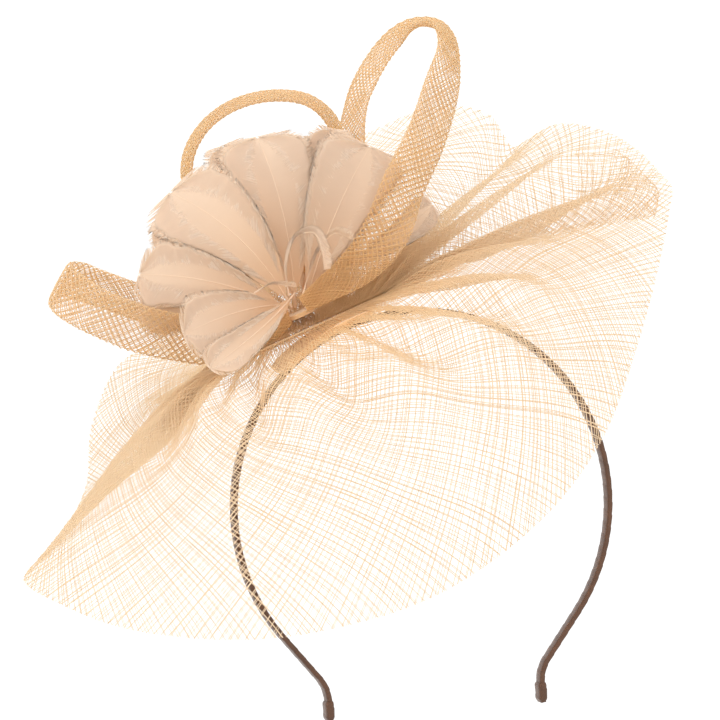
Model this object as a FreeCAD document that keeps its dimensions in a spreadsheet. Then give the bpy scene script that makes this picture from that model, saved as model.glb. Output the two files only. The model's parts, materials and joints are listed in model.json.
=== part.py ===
import FreeCAD, Part
import math
import os
import Sketcher
from FreeCAD import Placement, Rotation, Vector

# Fascinator headpiece: a wrapped metal headband that carries a pleated sinamay saucer,
# three loops of bias tube and a spray of feathers.
# Frame: origin at the centre of the headband's round arc, +X to the wearer's left,
# +Y to the back of the head, +Z up. The headband lies in the XZ plane.

os.makedirs("parts", exist_ok=True)
doc = FreeCAD.newDocument("fascinator")

# ---------------------------------------------------------------- driving dimensions
DIMENSIONS = [
    ("arc_radius", "70"),        # centreline radius of the round part of the band
    ("arc_drop", "38"),          # how far the arc runs below its centre, degrees each side
    ("leg_length", "20"),        # straight run after the arc
    ("bend_radius", "14"),       # soft bend from the leg to the upright tip
    ("tip_length", "7"),         # upright end run
    ("band_lean", "3.8"),        # the band is turned in its own plane, tips to +X, degrees
    ("steel_width", "5"),
    ("steel_gauge", "1.2"),
    ("ribbon_gauge", "0.5"),     # wrapped ribbon, two turns thick
    ("end_wrap_gauge", "0.6"),
    ("patch_gauge", "2.4"),      # felt patch between band and saucer
    ("patch_width", "24"),
    ("patch_start", "106"),      # degrees round the band
    ("patch_end", "138"),
    ("show_turn", "15"),         # the trimming faces this far to the wearer's right, degrees
    ("saucer_gauge", "1.0"),     # two layers of sinamay
    ("slot_half_length", "33"),  # the gathered middle of the saucer
    ("slot_half_width", "3"),
    ("slot_tilt", "24"),         # degrees above level
    ("tube_width", "18"),        # bias tube of the loops, pressed flat
    ("tube_gauge", "1.6"),
    ("feather_gauge", "0.5"),
    ("patch_corner", "6"),
    ("pad_radius", "5.5"),       # felt disc under the quills
    ("pad_depth", "-5"),         # its centre, square to the show side, and its height
    ("pad_height", "68"),
    ("pad_gauge", "1.6"),
    ("stitch_diameter", "0.7"),
]

sheet = doc.addObject("Spreadsheet::Sheet", "dims")
for row, (alias, value) in enumerate(DIMENSIONS, start=1):
    sheet.set(f"A{row}", alias)
    sheet.set(f"B{row}", value)
    sheet.setAlias(f"B{row}", alias)
doc.recompute()


def size(alias):
    return float(getattr(sheet, alias))


subparts = []


def keep(subpart, label):
    subpart.Label = label
    subparts.append(subpart)
    return subpart


# ---------------------------------------------------------------- headband
def origin_plane(body, role):
    return next(item for item in body.Origin.OriginFeatures if item.Role == role)


def new_sketch(body, name, role):
    sketch = body.newObject("Sketcher::SketchObject", name)
    sketch.AttachmentSupport = (origin_plane(body, role), [""])
    sketch.MapMode = "FlatFace"
    return sketch


def tip_point():
    """Lower end of the band's centreline on the +X side, with the bend's tangent length."""
    drop = math.radians(size("arc_drop"))
    arc_end = Vector(math.cos(drop), -math.sin(drop), 0) * size("arc_radius")
    inward = Vector(-math.sin(drop), -math.cos(drop), 0)
    corner_cut = size("bend_radius") * math.tan(drop / 2)
    leg_end = arc_end + inward * size("leg_length")
    corner = leg_end + inward * corner_cut
    bend_end = corner + Vector(0, -corner_cut, 0)
    tip = bend_end + Vector(0, -size("tip_length"), 0)
    return arc_end, leg_end, bend_end, tip


def leaned(placement=Placement()):
    """A placement turned with the band about the centre of its arc."""
    turn = Placement(Vector(0, 0, 0), Rotation(Vector(0, 1, 0), -size("band_lean")))
    return turn.multiply(placement)


def band_path(body, name):
    """The band's centreline: tip, bend, leg, arc, leg, bend, tip, in the XZ plane."""
    sketch = new_sketch(body, name, "XZ_Plane")
    arc_end, leg_end, bend_end, tip = tip_point()
    drop = math.radians(size("arc_drop"))
    bend = size("bend_radius")
    axis = Vector(0, 0, 1)
    arc = Part.Circle(Vector(0, 0, 0), axis, size("arc_radius"))
    pieces = [Part.ArcOfCircle(arc, -drop, math.pi + drop)]
    for side in (1, -1):
        def mirrored(point):
            return Vector(side * point.x, point.y, 0)
        pieces.append(Part.LineSegment(mirrored(arc_end), mirrored(leg_end)))
        centre = mirrored(bend_end + Vector(bend, 0, 0))
        start, end = (math.pi - drop, math.pi) if side > 0 else (0, drop)
        pieces.append(Part.ArcOfCircle(Part.Circle(centre, axis, bend), start, end))
        pieces.append(Part.LineSegment(mirrored(bend_end), mirrored(tip)))
    sketch.addGeometry(pieces, False)
    # right side: arc start 0.1, leg 1, bend 2, tip 3; left side: arc end 0.2, leg 4, bend 5, tip 6
    for arc_point, leg, bend_index, end_run, bend_start, bend_stop in (
            (1, 1, 2, 3, 1, 2), (2, 4, 5, 6, 2, 1)):
        sketch.addConstraint(Sketcher.Constraint("Tangent", 0, arc_point, leg, 1))
        sketch.addConstraint(Sketcher.Constraint("Tangent", leg, 2, bend_index, bend_start))
        sketch.addConstraint(Sketcher.Constraint("Tangent", bend_index, bend_stop, end_run, 1))
        sketch.addConstraint(Sketcher.Constraint("Vertical", end_run))
    sketch.addConstraint(Sketcher.Constraint("Coincident", 0, 3, -1, 1))
    driven = [("Radius", (0,), size("arc_radius"), "arc_radius"),
              ("Distance", (1,), size("leg_length"), "leg_length"),
              ("Distance", (4,), size("leg_length"), "leg_length"),
              ("Radius", (2,), bend, "bend_radius"),
              ("Radius", (5,), bend, "bend_radius"),
              ("Distance", (3,), size("tip_length"), "tip_length"),
              ("Distance", (6,), size("tip_length"), "tip_length")]
    for kind, where, value, alias in driven:
        index = sketch.addConstraint(Sketcher.Constraint(kind, *where, value))
        sketch.setExpression(f"Constraints[{index}]", f"dims.{alias}")
    return sketch


def band_section(body, name, gauge, width):
    """A rectangle across the band at its lower end on the +X side; sizes are expressions."""
    sketch = new_sketch(body, name, "XY_Plane")
    tip = tip_point()[3]
    sketch.AttachmentOffset = Placement(Vector(tip.x, 0, tip.y), Rotation())
    half_gauge, half_width = size("steel_gauge") / 2, size("steel_width") / 2
    corners = [Vector(-half_gauge, -half_width, 0), Vector(half_gauge, -half_width, 0),
               Vector(half_gauge, half_width, 0), Vector(-half_gauge, half_width, 0)]
    for index in range(4):
        sketch.addGeometry(Part.LineSegment(corners[index], corners[(index + 1) % 4]), False)
    for index in range(4):
        sketch.addConstraint(Sketcher.Constraint("Coincident", index, 2, (index + 1) % 4, 1))
    for index, direction in enumerate(("Horizontal", "Vertical", "Horizontal", "Vertical")):
        sketch.addConstraint(Sketcher.Constraint(direction, index))
    sketch.addConstraint(Sketcher.Constraint("Symmetric", 0, 1, 2, 1, -1, 1))
    across = sketch.addConstraint(Sketcher.Constraint("Distance", 0, 2 * half_gauge))
    sketch.setExpression(f"Constraints[{across}]", gauge)
    along = sketch.addConstraint(Sketcher.Constraint("Distance", 1, 2 * half_width))
    sketch.setExpression(f"Constraints[{along}]", width)
    return sketch


def band_pipe(body, kind, name, section, path):
    pipe = body.newObject(f"PartDesign::{kind}", name)
    pipe.Profile = section
    pipe.Spine = (path, [f"Edge{index + 1}" for index in range(7)])
    pipe.Mode = "Standard"
    return pipe


def make_steel_strip():
    body = doc.addObject("PartDesign::Body", "SteelStrip")
    path = band_path(body, "SteelPath")
    section = band_section(body, "SteelSection", "dims.steel_gauge", "dims.steel_width")
    band_pipe(body, "AdditivePipe", "SteelSweep", section, path)
    body.Placement = leaned()
    return keep(body, "headband_steel_strip")


def make_ribbon_wrap():
    """The ribbon as one sleeve round the strip, open at both ends."""
    body = doc.addObject("PartDesign::Body", "RibbonWrap")
    path = band_path(body, "RibbonPath")
    outer = band_section(body, "RibbonOutside", "dims.steel_gauge + 2 * dims.ribbon_gauge",
                         "dims.steel_width + 2 * dims.ribbon_gauge")
    band_pipe(body, "AdditivePipe", "RibbonSweep", outer, path)
    inner = band_section(body, "RibbonInside", "dims.steel_gauge", "dims.steel_width")
    band_pipe(body, "SubtractivePipe", "RibbonHollow", inner, path)
    body.Placement = leaned()
    return keep(body, "headband_ribbon_wrap")


def make_end_wraps():
    """Ribbon turned up over each end of the band: a blind cap."""
    tip = tip_point()[3]
    for side, label in ((1, "left_end_wrap"), (-1, "right_end_wrap")):
        shell = doc.addObject("Part::Box", f"{label}_outside")
        hollow = doc.addObject("Part::Box", f"{label}_inside")
        wrapped = "(dims.steel_gauge + 2 * dims.ribbon_gauge)"
        wide = "(dims.steel_width + 2 * dims.ribbon_gauge)"
        shell.setExpression("Length", f"{wrapped} + 2 * dims.end_wrap_gauge")
        shell.setExpression("Width", f"{wide} + 2 * dims.end_wrap_gauge")
        shell.setExpression("Height", "dims.tip_length + dims.end_wrap_gauge")
        hollow.setExpression("Length", wrapped)
        hollow.setExpression("Width", wide)
        hollow.setExpression("Height", "dims.tip_length + dims.end_wrap_gauge")
        gauge = size("steel_gauge") + 2 * size("ribbon_gauge")
        width = size("steel_width") + 2 * size("ribbon_gauge")
        wall = size("end_wrap_gauge")
        inside = Vector(side * tip.x - gauge / 2, -width / 2, tip.y)
        shell.Placement = leaned(Placement(inside - Vector(wall, wall, wall), Rotation()))
        hollow.Placement = leaned(Placement(inside, Rotation()))
        rounded = doc.addObject("Part::Fillet", f"{label}_rounded")
        rounded.Base = shell
        doc.recompute()
        corner = 0.5
        rounded.Edges = [(index + 1, corner, corner) for index in range(len(shell.Shape.Edges))]
        cap = doc.addObject("Part::Cut", label)
        cap.Base = rounded
        cap.Tool = hollow
        keep(cap, label)


def make_base_patch():
    """Curved felt patch sewn to the top of the band, under the gathered middle."""
    body = doc.addObject("PartDesign::Body", "BasePatch")
    sketch = new_sketch(body, "PatchOutline", "XZ_Plane")
    inner = size("arc_radius") + size("steel_gauge") / 2 + size("ribbon_gauge")
    outer = inner + size("patch_gauge")
    start = math.radians(size("patch_start"))
    end = math.radians(size("patch_end"))
    axis = Vector(0, 0, 1)

    def polar(radius, angle):
        return Vector(radius * math.cos(angle), radius * math.sin(angle), 0)

    sketch.addGeometry([
        Part.ArcOfCircle(Part.Circle(Vector(0, 0, 0), axis, inner), start, end),
        Part.LineSegment(polar(inner, end), polar(outer, end)),
        Part.ArcOfCircle(Part.Circle(Vector(0, 0, 0), axis, outer), start, end),
        Part.LineSegment(polar(outer, start), polar(inner, start))], False)
    for first, first_point, second, second_point in ((0, 2, 1, 1), (1, 2, 2, 2),
                                                     (2, 1, 3, 1), (3, 2, 0, 1)):
        sketch.addConstraint(
            Sketcher.Constraint("Coincident", first, first_point, second, second_point))
    sketch.addConstraint(Sketcher.Constraint("Coincident", 0, 3, -1, 1))
    sketch.addConstraint(Sketcher.Constraint("Coincident", 2, 3, -1, 1))
    inside = sketch.addConstraint(Sketcher.Constraint("Radius", 0, inner))
    band_outside = "dims.arc_radius + dims.steel_gauge / 2 + dims.ribbon_gauge"
    sketch.setExpression(f"Constraints[{inside}]", band_outside)
    outside = sketch.addConstraint(Sketcher.Constraint("Radius", 2, outer))
    sketch.setExpression(f"Constraints[{outside}]", f"{band_outside} + dims.patch_gauge")
    pad = body.newObject("PartDesign::Pad", "PatchPad")
    pad.Profile = sketch
    pad.Midplane = True
    pad.setExpression("Length", "dims.patch_width")
    doc.recompute()
    rounded = body.newObject("PartDesign::Fillet", "PatchCorners")
    corners = [f"Edge{index + 1}" for index, edge in enumerate(pad.Shape.Edges)
               if abs(edge.Length - size("patch_gauge")) < 0.01]
    rounded.Base = (pad, corners)
    rounded.setExpression("Radius", "dims.patch_corner")
    return keep(body, "base_patch")


def make_anchor_stitches():
    """Whip stitches down both edges of the ribbon, from the patch: one group of short bars."""
    radius = size("stitch_diameter") / 2
    edge = size("steel_width") / 2 + size("ribbon_gauge")
    top = size("arc_radius") + size("steel_gauge") / 2 + size("ribbon_gauge")
    gap = 0.1
    extra_length = 0.3
    reach = size("steel_gauge") + extra_length
    count = 5
    bars = []
    for side in (-1, 1):
        for index in range(count):
            share = (index + 0.5) / count
            angle = size("patch_start") + share * (size("patch_end") - size("patch_start"))
            bar = doc.addObject("Part::Cylinder", f"Stitch{side + 1}{index}")
            bar.setExpression("Radius", "dims.stitch_diameter / 2")
            bar.Height = reach
            turn = Rotation(Vector(0, 1, 0), 90 - angle)
            start = turn.multVec(Vector(0, side * (edge + gap + radius), top - gap - reach))
            bar.Placement = Placement(start, turn)
            bars.append(bar)
    group = doc.addObject("Part::Compound", "AnchorStitches")
    group.Links = bars
    return keep(group, "anchor_stitches")


# ---------------------------------------------------------------- thin curved sheets
def facing(across, depth, up):
    """A point given square to the show side: across to the right, depth away, up."""
    turn = math.radians(size("show_turn"))
    return Vector(across * math.cos(turn) + depth * math.sin(turn),
                  -across * math.sin(turn) + depth * math.cos(turn), up)


def unit(vector):
    return vector * (1 / vector.Length)


def grid_normals(grid):
    """Unit normals of a grid of points, from its neighbours both ways."""
    rows, columns = len(grid), len(grid[0])
    normals = []
    for i in range(rows):
        line = []
        for j in range(columns):
            along = grid[min(i + 1, rows - 1)][j] - grid[max(i - 1, 0)][j]
            across = grid[i][min(j + 1, columns - 1)] - grid[i][max(j - 1, 0)]
            line.append(unit(along.cross(across)))
        normals.append(line)
    return normals


def offset_grid(grid, normals, distance):
    return [[point + normal * distance for point, normal in zip(points, line)]
            for points, line in zip(grid, normals)]


def smooth_surface(grid):
    surface = Part.BSplineSurface()
    surface.interpolate(grid)
    return surface


def edges_of(surface):
    """Boundary curves of a surface: first row, last row, first column, last column."""
    u_low, u_high, v_low, v_high = surface.bounds()
    return [surface.uIso(u_low), surface.uIso(u_high), surface.vIso(v_low), surface.vIso(v_high)]


SEW_TOLERANCE = 0.02


def sewn_solid(faces):
    skin = Part.makeCompound(faces)
    skin.sewShape(SEW_TOLERANCE)
    solid = Part.makeSolid(skin.Shells[0])
    if solid.Volume < 0:
        solid.reverse()
    return solid


def sheet_faces(grid, normals, gauge, closed=False):
    """Both skins of a thin sheet and the wall round its edge. A closed sheet runs round to
    its own first row, so it is cut in two and has walls on its inner and outer rings only."""
    skins = []
    for distance in (gauge / 2, -gauge / 2):
        whole = smooth_surface(offset_grid(grid, normals, distance))
        u_low, u_high, v_low, v_high = whole.bounds()
        stops = (u_low, (u_low + u_high) / 2, u_high) if closed else (u_low, u_high)
        parts = []
        for start, end in zip(stops, stops[1:]):
            part = whole.copy()
            part.segment(start, end, v_low, v_high)
            parts.append(part)
        skins.append(parts)
    faces = [part.toShape() for parts in skins for part in parts]
    for upper, lower in zip(*skins):
        for top, bottom in list(zip(edges_of(upper), edges_of(lower)))[2 if closed else 0:]:
            wires = [Part.Wire(curve.toShape()) for curve in (top, bottom)]
            faces += Part.makeLoft(wires, False, True).Faces
    return faces


def add_sheet(label, faces):
    piece = doc.addObject("Part::Feature", label)
    piece.Shape = sewn_solid(faces)
    piece.Placement = Placement()
    return keep(piece, label)


# ---------------------------------------------------------------- saucer
# The rim, from the right-hand tip of the wearer round the front to the other tip and back
# round behind: across, depth, up.
RIM_FRONT = [(-139.5, -58, -24), (-126, -80, -31), (-101, -96, -39), (-63, -106, -42),
             (-31, -107, -38), (4, -98, -27), (39, -80, -3), (61, -58, 24), (76, -28, 59),
             (87, 4, 94), (90, 16, 107)]
RIM_BACK = [(91.5, 22, 114.5), (88, 32, 120), (81, 52, 130), (68, 75, 139), (52, 92, 142),
            (42, 101, 137), (36, 107, 134), (32, 111, 140), (27, 113, 147), (8, 113, 150),
            (-23, 112, 138), (-54, 114, 118), (-80, 112, 90), (-99, 98, 62), (-114, 75, 50),
            (-122, 45, 28), (-122, 10, 7), (-129, -28, -11), (-135.5, -46, -19)]

# Folds out of the gathered middle: angle round it, rise, spread, how far out they run. The
# wide ones shape the crest and the hollow behind it, and the narrow ones are pleats.
FOLDS = [(186, 2, 16, 1), (152, -8, 18, 1), (120, -8, 20, 1), (134, 4, 7, 0.9),
         (3, 5, 5, 1.15), (13, -8, 6, 1), (23, 6, 5, 1.05), (31, -5, 5, 1), (37, 5, 5, 1),
         (46, -8, 5, 1), (58, 6, 8, 0.9), (74, -4, 6, 0.6), (90, 4, 6, 0.6),
         (206, -4, 5, 0.6), (222, 3, 5, 0.6), (238, -4, 5, 0.6), (251, 4, 5, 0.7),
         (262, -4, 5, 0.7), (273, 4, 5, 0.75), (284, -4, 5, 0.7), (296, 4, 5, 0.8),
         (307, -4, 5, 0.7), (319, 4, 5, 0.8), (332, -4, 6, 0.7), (346, 3, 5, 0.7)]


def rim_points(half_count):
    """Points round the rim, evenly spaced on the front half and on the back half."""
    points = [facing(*point) for point in RIM_FRONT + RIM_BACK]
    curve = Part.BSplineCurve()
    curve.interpolate(points, PeriodicFlag=True)
    low, high = curve.FirstParameter, curve.LastParameter
    middle = curve.parameter(points[len(RIM_FRONT)])
    found = []
    for start, end in ((low, middle), (middle, high)):
        stretch = curve.length(start, end)
        for index in range(half_count):
            distance = stretch * index / half_count
            found.append(curve.value(curve.parameterAtDistance(distance, start)))
    return found


def fold_height(degrees, share):
    """How far the cloth stands off its mean surface."""
    height = 0
    for angle, rise, spread, run in FOLDS:
        gap = (degrees - angle + 180) % 360 - 180
        height += (rise * math.exp(-(gap / spread) ** 2)
                   * math.sin(math.pi * min(1, share / run)) ** 2)
    return height


SLOT_CENTRE = Vector(-44, 0, 62.5)


def saucer_grid(half_count, steps):
    """Points of the saucer's middle surface: a row for each line from the slot to the rim."""
    tilt = math.radians(size("slot_tilt"))
    along = Vector(math.cos(tilt), 0, math.sin(tilt))
    lift = Vector(-math.sin(tilt), 0, math.cos(tilt))
    back = Vector(0, 1, 0)
    rows = []
    for index, rim in enumerate(rim_points(half_count)):
        degrees = 180 + 180 * index / half_count
        angle = math.radians(degrees)
        slot = (SLOT_CENTRE + along * (size("slot_half_length") * math.cos(angle))
                + back * (size("slot_half_width") * math.sin(angle)))
        front = max(0, -math.sin(angle))
        rear = max(0, math.sin(angle))
        launch = unit(along * math.cos(angle) + back * (0.9 * math.sin(angle))
                      + lift * (0.15 - 0.4 * front + 0.45 * rear))
        span = rim - slot
        outward = unit(span)
        finish = unit(outward + Vector(0, -0.1, -1.6) * front + Vector(0, 0.2, 0.35) * rear)
        start_pull = span.Length * (0.22 + 0.3 * front)
        end_pull = span.Length * (0.3 + 0.18 * front)
        controls = [slot, slot + launch * start_pull, rim - finish * end_pull, rim]
        curve = Part.BezierCurve()
        curve.setPoles(controls)
        row = []
        for step in range(steps + 1):
            share = (step / steps) ** 1.3
            point = curve.value(share)
            heading = curve.tangent(share)[0] if share > 0 else launch
            sideways = unit(back * math.cos(angle) - along * math.sin(angle))
            normal = unit(heading.cross(sideways))
            row.append(point + normal * fold_height(degrees % 360, share))
        rows.append(row)
    return rows + rows[:1]


def make_saucer():
    half_count, steps = 45, 9
    grid = saucer_grid(half_count, steps)
    normals = grid_normals(grid[-2:-1] + grid + grid[1:2])[1:-1]
    return add_sheet("sinamay_saucer",
                     sheet_faces(grid, normals, size("saucer_gauge"), closed=True))


def make_gather_thread():
    """The drawn thread that holds the pleats round the slot."""
    tilt = math.radians(size("slot_tilt"))
    inset = 1.2
    ring = Part.Ellipse(Vector(0, 0, 0), size("slot_half_length") - inset,
                        size("slot_half_width") - inset).toShape()
    start = ring.valueAt(ring.FirstParameter)
    section = Part.Circle(start, Vector(0, 1, 0), size("stitch_diameter") / 2).toShape()
    thread = Part.Wire(ring).makePipeShell([Part.Wire(section)], True, False)
    piece = doc.addObject("Part::Feature", "gather_thread")
    piece.Shape = thread
    piece.Placement = Placement(SLOT_CENTRE, Rotation(Vector(0, 1, 0), -math.degrees(tilt)))
    return keep(piece, "gather_thread")


# ---------------------------------------------------------------- loops of bias tube
def smooth_path(points, count):
    curve = Part.BSplineCurve()
    curve.interpolate(points)
    return curve.discretize(Number=count), curve


def normal_between(knots, normals, parameter):
    """The facing normal at a parameter of the path, blended between its two stations."""
    index = max(i for i in range(len(knots) - 1) if i == 0 or knots[i] <= parameter)
    share = (parameter - knots[index]) / (knots[index + 1] - knots[index])
    share = min(1, max(0, share))
    return normals[index] * (1 - share) + normals[index + 1] * share


def make_tube(label, stations, count, width_share, start_pinch, end_pinch):
    """A flattened tube along a path, its ends drawn in where they are caught: stations are
    (across, depth, up), (facing normal)."""
    places = [facing(*place) for place, _ in stations]
    normals = [unit(facing(*normal)) for _, normal in stations]
    path, curve = smooth_path(places, count)
    knots = [curve.parameter(place) for place in places]
    half_width = size("tube_width") / 2 * width_share
    narrowest = 0.35
    grid = []
    for index, point in enumerate(path):
        parameter = curve.parameter(point)
        heading = curve.tangent(parameter)[0]
        sideways = unit(heading.cross(normal_between(knots, normals, parameter)))
        share = index / (count - 1)
        drawn_in = min(1, share / start_pinch, (1 - share) / end_pinch)
        breadth = narrowest + (1 - narrowest) * math.sin(drawn_in * math.pi / 2)
        grid.append([point + sideways * (half_width * breadth * side) for side in (-1, 0, 1)])
    return add_sheet(label, sheet_faces(grid, grid_normals(grid), size("tube_gauge")))


TALL_LOOP = [((-43, -14, 72), (0, -1, 0.4)), ((-34, -14, 78), (0, -1, 0.3)),
             ((-24, -12, 85), (0, -1, 0.2)), ((-14, -9, 97), (0.2, -1, 0.1)),
             ((-7, -5, 115), (0.5, -0.9, 0)), ((1, -2, 132), (0.6, -0.8, 0)),
             ((7, 2, 151), (0.7, -0.7, 0)), ((9.5, 6, 163), (0.9, -0.45, 0.1)),
             ((7.5, 12, 171.5), (0.8, -0.35, 0.5)), ((0.5, 18, 175), (0.1, -0.3, 0.95)),
             ((-8, 22, 171.5), (-0.5, -0.4, 0.75)), ((-16, 22, 162.5), (-0.8, -0.45, 0.4)),
             ((-22.5, 20, 150), (-0.85, -0.5, 0)), ((-25.5, 16, 138), (-0.85, -0.55, 0)),
             ((-27, 8, 118), (-0.7, -0.7, 0)), ((-32, 0, 100), (-0.5, -0.85, 0.1)),
             ((-41, -8, 83), (-0.4, -0.9, 0.3))]
BACK_HOOP = [((-52, 22, 86), (-0.3, -0.3, -1)), ((-68, 23, 93), (-0.6, -0.3, -0.8)),
             ((-83, 25, 108), (-1, -0.35, -0.4)), ((-86, 26, 124), (-1, -0.35, 0)),
             ((-81, 27, 136), (-0.8, -0.35, 0.6)), ((-70, 27, 145), (-0.4, -0.35, 0.9)),
             ((-55, 27, 149), (0, -0.35, 1)), ((-41, 28, 147), (0.3, -0.35, 0.9)),
             ((-32, 30, 138), (0.8, -0.35, 0.5)), ((-30, 30, 120), (1, -0.3, 0)),
             ((-35, 28, 101), (0.9, -0.2, -0.4)), ((-43, 26, 88), (0.8, -0.2, -0.6))]
SIDE_LOOP = [((-48, -10, 68), (0.1, -1, -0.2)), ((-62, -14, 62), (0.05, -1, -0.25)),
             ((-77, -18, 59), (0.1, -1, -0.3)), ((-86, -21, 60), (0.1, -1, -0.3)),
             ((-100, -25, 63), (0.1, -1, -0.3)), ((-113, -27, 68), (-0.1, -1, -0.3)),
             ((-120, -27, 71.5), (-0.3, -0.9, -0.1)), ((-126, -24, 75.5), (-0.6, -0.7, 0.2)),
             ((-129.5, -19, 79.5), (-0.87, 0, 0.49)), ((-126, -13, 81), (-0.3, 0.6, 0.7)),
             ((-119.5, -9, 79), (0, 0.7, 0.7)), ((-108, -6, 75), (0.05, 0.7, 0.7)),
             ((-99.5, -4, 72), (0.05, 0.7, 0.7)), ((-87, -2, 69), (0.05, 0.7, 0.7))]


# ---------------------------------------------------------------- feathers
# Each feather: label, quill end, tip, sideways bow, width, way its face looks, cup, curl back.
FEATHERS = [
    ("feather_back_top", (-44, -4, 72), (-43, 8, 135), 2, 26, (0.1, -1, 0.2), 2, 6),
    ("feather_back_left", (-46, -5, 71), (-73, 4, 131), 4, 22, (-0.1, -1, 0.3), 2, 6),
    ("feather_back_right", (-42, -6, 72), (-31, 4, 137), -3, 20, (0.2, -1, 0.2), 2, 6),
    ("feather_top_centre", (-46, -8, 71), (-60, -1, 134), 3, 36, (0, -1, 0.2), 2, 7),
    ("feather_right", (-42, -9, 72), (-18, -3, 130), -3, 36, (0.2, -1, 0.2), 2, 6),
    ("feather_left", (-47, -13, 71), (-90, -17, 113), 4, 37, (-0.1, -1, 0.3), 2, 7),
    ("feather_outer_left", (-48, -8, 70), (-96, -6, 104), -2, 20, (-0.2, -1, 0.2), 2, 6),
    ("feather_low_left", (-48, -14, 70), (-101, -22, 83), 3, 27, (-0.1, -1, 0.1), 2, 7),
    ("feather_under_left", (-49, -12, 69), (-101, -18, 69), 2, 20, (-0.1, -1, -0.1), 2, 6),
    ("feather_low_front", (-48, -17, 72), (-83, -42, 62), 2, 25, (-0.2, -1, 0), 2, 4),
    ("feather_drooping", (-46, -20, 76), (-74, -49, 51), -2, 15, (-0.1, -1, 0), 2, 4),
    ("feather_far_right", (-30, 2, 84), (5, 18, 110), 2, 14, (0.3, -1, 0.2), 1, 4),
]

CURLED = [
    ("feather_curl_large", [(-48, -21, 75), (-49, -25, 86), (-45, -28, 96), (-39, -30, 97),
                            (-36, -31, 91), (-35, -31, 84)], 12),
    ("feather_curl_right", [(-43, -19, 76), (-38, -23, 90), (-32, -25, 97), (-25, -26, 95)], 10),
    ("feather_curl_small", [(-60, -27, 76), (-54, -29, 79), (-45, -30, 78)], 7),
]


def make_feather_pad():
    """Small felt disc that the quills are glued and stitched to."""
    disc = doc.addObject("Part::Cylinder", "PadDisc")
    disc.setExpression("Radius", "dims.pad_radius")
    disc.setExpression("Height", "dims.pad_gauge")
    tilt = Rotation(Vector(0, 1, 0), -size("slot_tilt"))
    disc.Placement = Placement(facing(SLOT_CENTRE.x, size("pad_depth"), size("pad_height")), tilt)
    doc.recompute()
    rounded = doc.addObject("Part::Fillet", "feather_pad")
    rounded.Base = disc
    edge_round = 0.5
    rounded.Edges = [(1, edge_round, edge_round), (3, edge_round, edge_round)]
    return keep(rounded, "feather_pad")


def vane_half_width(share):
    """Half the vane's width along its length, 1 at its widest, from a bare quill."""
    shaft = 0.08
    spread_out = max(0, share - 0.08) ** 0.7 * 1.16
    blunt = max(0, 1 - max(0, (share - 0.82) / 0.2) ** 3)
    return max(shaft, spread_out * math.sqrt(blunt))


VANE_STATIONS = (0, 0.1, 0.25, 0.42, 0.58, 0.72, 0.84, 0.93, 1)
VANE_ACROSS = (-1, -0.5, 0, 0.5, 1)


def make_feather(label, root, tip, bow, width, face, cup, curl):
    start, end = facing(*root), facing(*tip)
    looks = unit(facing(*face))
    sideways = unit((end - start).cross(looks))
    front = unit(sideways.cross(end - start))
    grid = []
    for share in VANE_STATIONS:
        arch = 4 * share * (1 - share)
        spine = (start + (end - start) * share + sideways * (bow * arch)
                 + front * (curl * (arch * 0.6 - share ** 3)))
        half = vane_half_width(share) * width / 2
        grid.append([spine + sideways * (half * across)
                     + front * (cup * share * across ** 2 * min(1, half / 4))
                     for across in VANE_ACROSS])
    faces = sheet_faces(grid, grid_normals(grid), size("feather_gauge"))
    return add_sheet(label, faces)


def make_curled_feather(label, places, width):
    count = 9
    path, curve = smooth_path([facing(*place) for place in places], count)
    level = facing(0.3, -1, 0.2)
    grid = []
    for index, point in enumerate(path):
        heading = curve.tangent(curve.parameter(point))[0]
        sideways = unit(level - heading * level.dot(heading))
        half = vane_half_width(index / (count - 1)) * width / 2
        grid.append([point + sideways * (half * across) for across in (-1, 0, 1)])
    faces = sheet_faces(grid, grid_normals(grid), size("feather_gauge"))
    return add_sheet(label, faces)


make_steel_strip()
make_ribbon_wrap()
make_end_wraps()
make_base_patch()
make_anchor_stitches()
make_saucer()
make_gather_thread()
make_feather_pad()
make_tube("tall_loop", TALL_LOOP, 32, 1.0, 0.2, 0.12)
make_tube("back_hoop", BACK_HOOP, 26, 0.7, 0.1, 0.1)
make_tube("side_loop", SIDE_LOOP, 28, 1.0, 0.15, 0.1)
for feather in FEATHERS:
    make_feather(*feather)
for curled in CURLED:
    make_curled_feather(*curled)

doc.recompute()
for item in doc.Objects:
    if "Invalid" in item.State or "Error" in item.State:
        raise RuntimeError(f"{item.Label} did not build: {item.State}")
for piece in subparts:
    if piece.Shape.isNull() or not piece.Shape.isValid():
        raise RuntimeError(f"{piece.Label} has no valid shape")
    piece.Shape.exportStep(f"parts/{piece.Label}.step")
    print(f"{piece.Label}: {piece.Shape.Volume:.0f} mm3")
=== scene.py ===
import json
import math

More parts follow.
